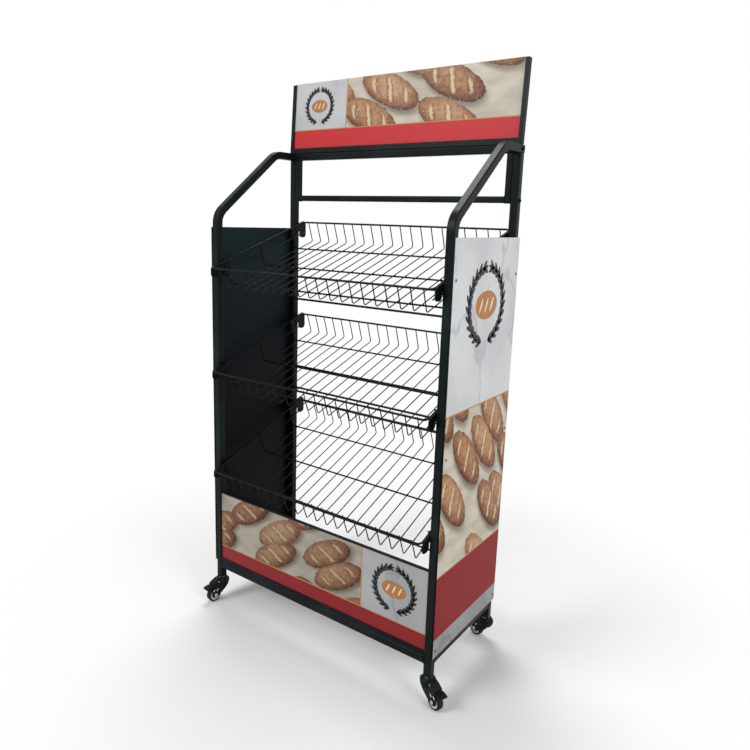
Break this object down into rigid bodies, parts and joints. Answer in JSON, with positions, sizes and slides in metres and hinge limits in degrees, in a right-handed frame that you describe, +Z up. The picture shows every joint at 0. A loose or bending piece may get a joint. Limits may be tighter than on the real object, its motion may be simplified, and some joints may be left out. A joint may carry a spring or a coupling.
{
  "type": "bakery display rack",
  "caption": "Wheeled display rack: tilted lift-off wire baskets hung between bent square-tube sides with board panels, under a slide-in header sign.",
  "frame": {"origin": "on the floor, under the middle of the rack's footprint with the casters as they stand", "axes": "+Z up, front towards -Y, width along X"},
  "size_m": [1.0198, 0.4926, 1.8452],
  "materials": {
    "black_powder_coat": "satin",
    "black_wire": "satin",
    "side_board": "printed board, satin",
    "sign_board": "printed board, satin",
    "kick_board": "printed board, satin",
    "screw_steel": "satin",
    "bolt_steel": "blackened",
    "zinc_steel": "satin",
    "black_plastic": "moulded, satin",
    "tyre": "matt",
    "hub_plastic": "moulded, semi-gloss"
  },
  "bodies": {
    "frame": {"board_screws": "screw_steel", "caster_sockets": "black_plastic", "caster_stems": "zinc_steel", "front_bottom_rail": "black_powder_coat", "header_bolts": "bolt_steel", "header_left_stile": "black_powder_coat", "header_right_stile": "black_powder_coat", "header_top_rail": "black_powder_coat", "header_window_bar": "black_powder_coat", "kick_channel": "black_powder_coat", "kick_panel": "kick_board", "kick_trim": "black_powder_coat", "left_bottom_rail": "black_powder_coat", "left_rear_post": "black_powder_coat", "left_side_panel": "side_board", "left_side_tube": "black_powder_coat", "rear_bottom_rail": "black_powder_coat", "rear_cross_bars": "black_powder_coat", "right_bottom_rail": "black_powder_coat", "right_rear_post": "black_powder_coat", "right_side_panel": "side_board", "right_side_tube": "black_powder_coat", "shelf_studs": "black_powder_coat", "sign_left_channel": "black_powder_coat", "sign_right_channel": "black_powder_coat", "sign_sill_channel": "black_powder_coat", "tube_end_caps": "black_plastic"},
    "front_left_fork": {"front_left_caster_housing": "black_plastic", "front_left_caster_pins": "zinc_steel"},
    "front_left_wheel": {"front_left_caster_hub": "hub_plastic", "front_left_caster_tyre": "tyre"},
    "front_left_brake": {"front_left_caster_pedal": "black_plastic"},
    "front_right_fork": {"front_right_caster_housing": "black_plastic", "front_right_caster_pins": "zinc_steel"},
    "front_right_wheel": {"front_right_caster_hub": "hub_plastic", "front_right_caster_tyre": "tyre"},
    "front_right_brake": {"front_right_caster_pedal": "black_plastic"},
    "sign": {"header_sign": "sign_board"},
    "rear_left_fork": {"rear_left_caster_housing": "black_plastic", "rear_left_caster_pins": "zinc_steel"},
    "rear_left_wheel": {"rear_left_caster_hub": "hub_plastic", "rear_left_caster_tyre": "tyre"},
    "rear_left_brake": {"rear_left_caster_pedal": "black_plastic"},
    "rear_right_fork": {"rear_right_caster_housing": "black_plastic", "rear_right_caster_pins": "zinc_steel"},
    "rear_right_wheel": {"rear_right_caster_hub": "hub_plastic", "rear_right_caster_tyre": "tyre"},
    "rear_right_brake": {"rear_right_caster_pedal": "black_plastic"},
    "shelf_1": {"shelf_1_hooks": "black_wire", "shelf_1_infill_wires": "black_wire", "shelf_1_rim": "black_wire", "shelf_1_support_wires": "black_wire"},
    "shelf_2": {"shelf_2_hooks": "black_wire", "shelf_2_infill_wires": "black_wire", "shelf_2_rim": "black_wire", "shelf_2_support_wires": "black_wire"},
    "shelf_3": {"shelf_3_hooks": "black_wire", "shelf_3_infill_wires": "black_wire", "shelf_3_rim": "black_wire", "shelf_3_support_wires": "black_wire"}
  },
  "joints": [
    {"name": "sign_lift", "type": "slide", "parent": "frame", "child": "sign", "axis": [0, 0.0628, 0.998], "range_m": [0, 0.235]},
    {"name": "shelf_1_lift", "type": "slide", "parent": "frame", "child": "shelf_1", "axis": [0, 0, 1], "range_m": [0, 0.045]},
    {"name": "shelf_2_lift", "type": "slide", "parent": "frame", "child": "shelf_2", "axis": [0, 0, 1], "range_m": [0, 0.045]},
    {"name": "shelf_3_lift", "type": "slide", "parent": "frame", "child": "shelf_3", "axis": [0, 0, 1], "range_m": [0, 0.045]},
    {"name": "front_left_swivel", "type": "hinge", "parent": "frame", "child": "front_left_fork", "pos_m": [-0.4375, -0.17318, 0.083], "axis": [0, 0, 1], "continuous": true},
    {"name": "front_left_roll", "type": "hinge", "parent": "front_left_fork", "child": "front_left_wheel", "pos_m": [-0.44189, -0.20891, 0.025], "axis": [0.9925, -0.1219, 0], "continuous": true},
    {"name": "front_left_brake_press", "type": "hinge", "parent": "front_left_fork", "child": "front_left_brake", "pos_m": [-0.44091, -0.20097, 0.06], "axis": [0.9925, -0.1219, 0], "range_deg": [0, 12]},
    {"name": "front_right_swivel", "type": "hinge", "parent": "frame", "child": "front_right_fork", "pos_m": [0.4375, -0.17318, 0.083], "axis": [0, 0, 1], "continuous": true},
    {"name": "front_right_roll", "type": "hinge", "parent": "front_right_fork", "child": "front_right_wheel", "pos_m": [0.47133, -0.18549, 0.025], "axis": [0.342, 0.9397, 0], "continuous": true},
    {"name": "front_right_brake_press", "type": "hinge", "parent": "front_right_fork", "child": "front_right_brake", "pos_m": [0.46381, -0.18275, 0.06], "axis": [0.342, 0.9397, 0], "range_deg": [0, 12]},
    {"name": "rear_left_swivel", "type": "hinge", "parent": "frame", "child": "rear_left_fork", "pos_m": [-0.4375, 0.20182, 0.083], "axis": [0, 0, 1], "continuous": true},
    {"name": "rear_left_roll", "type": "hinge", "parent": "rear_left_fork", "child": "rear_left_wheel", "pos_m": [-0.47133, 0.21414, 0.025], "axis": [-0.342, -0.9397, 0], "continuous": true},
    {"name": "rear_left_brake_press", "type": "hinge", "parent": "rear_left_fork", "child": "rear_left_brake", "pos_m": [-0.46381, 0.2114, 0.06], "axis": [-0.342, -0.9397, 0], "range_deg": [0, 12]},
    {"name": "rear_right_swivel", "type": "hinge", "parent": "frame", "child": "rear_right_fork", "pos_m": [0.4375, 0.20182, 0.083], "axis": [0, 0, 1], "continuous": true},
    {"name": "rear_right_roll", "type": "hinge", "parent": "rear_right_fork", "child": "rear_right_wheel", "pos_m": [0.40307, 0.21235, 0.025], "axis": [-0.2924, -0.9563, 0], "continuous": true},
    {"name": "rear_right_brake_press", "type": "hinge", "parent": "rear_right_fork", "child": "rear_right_brake", "pos_m": [0.41072, 0.21001, 0.06], "axis": [-0.2924, -0.9563, 0], "range_deg": [0, 12]}
  ]
}
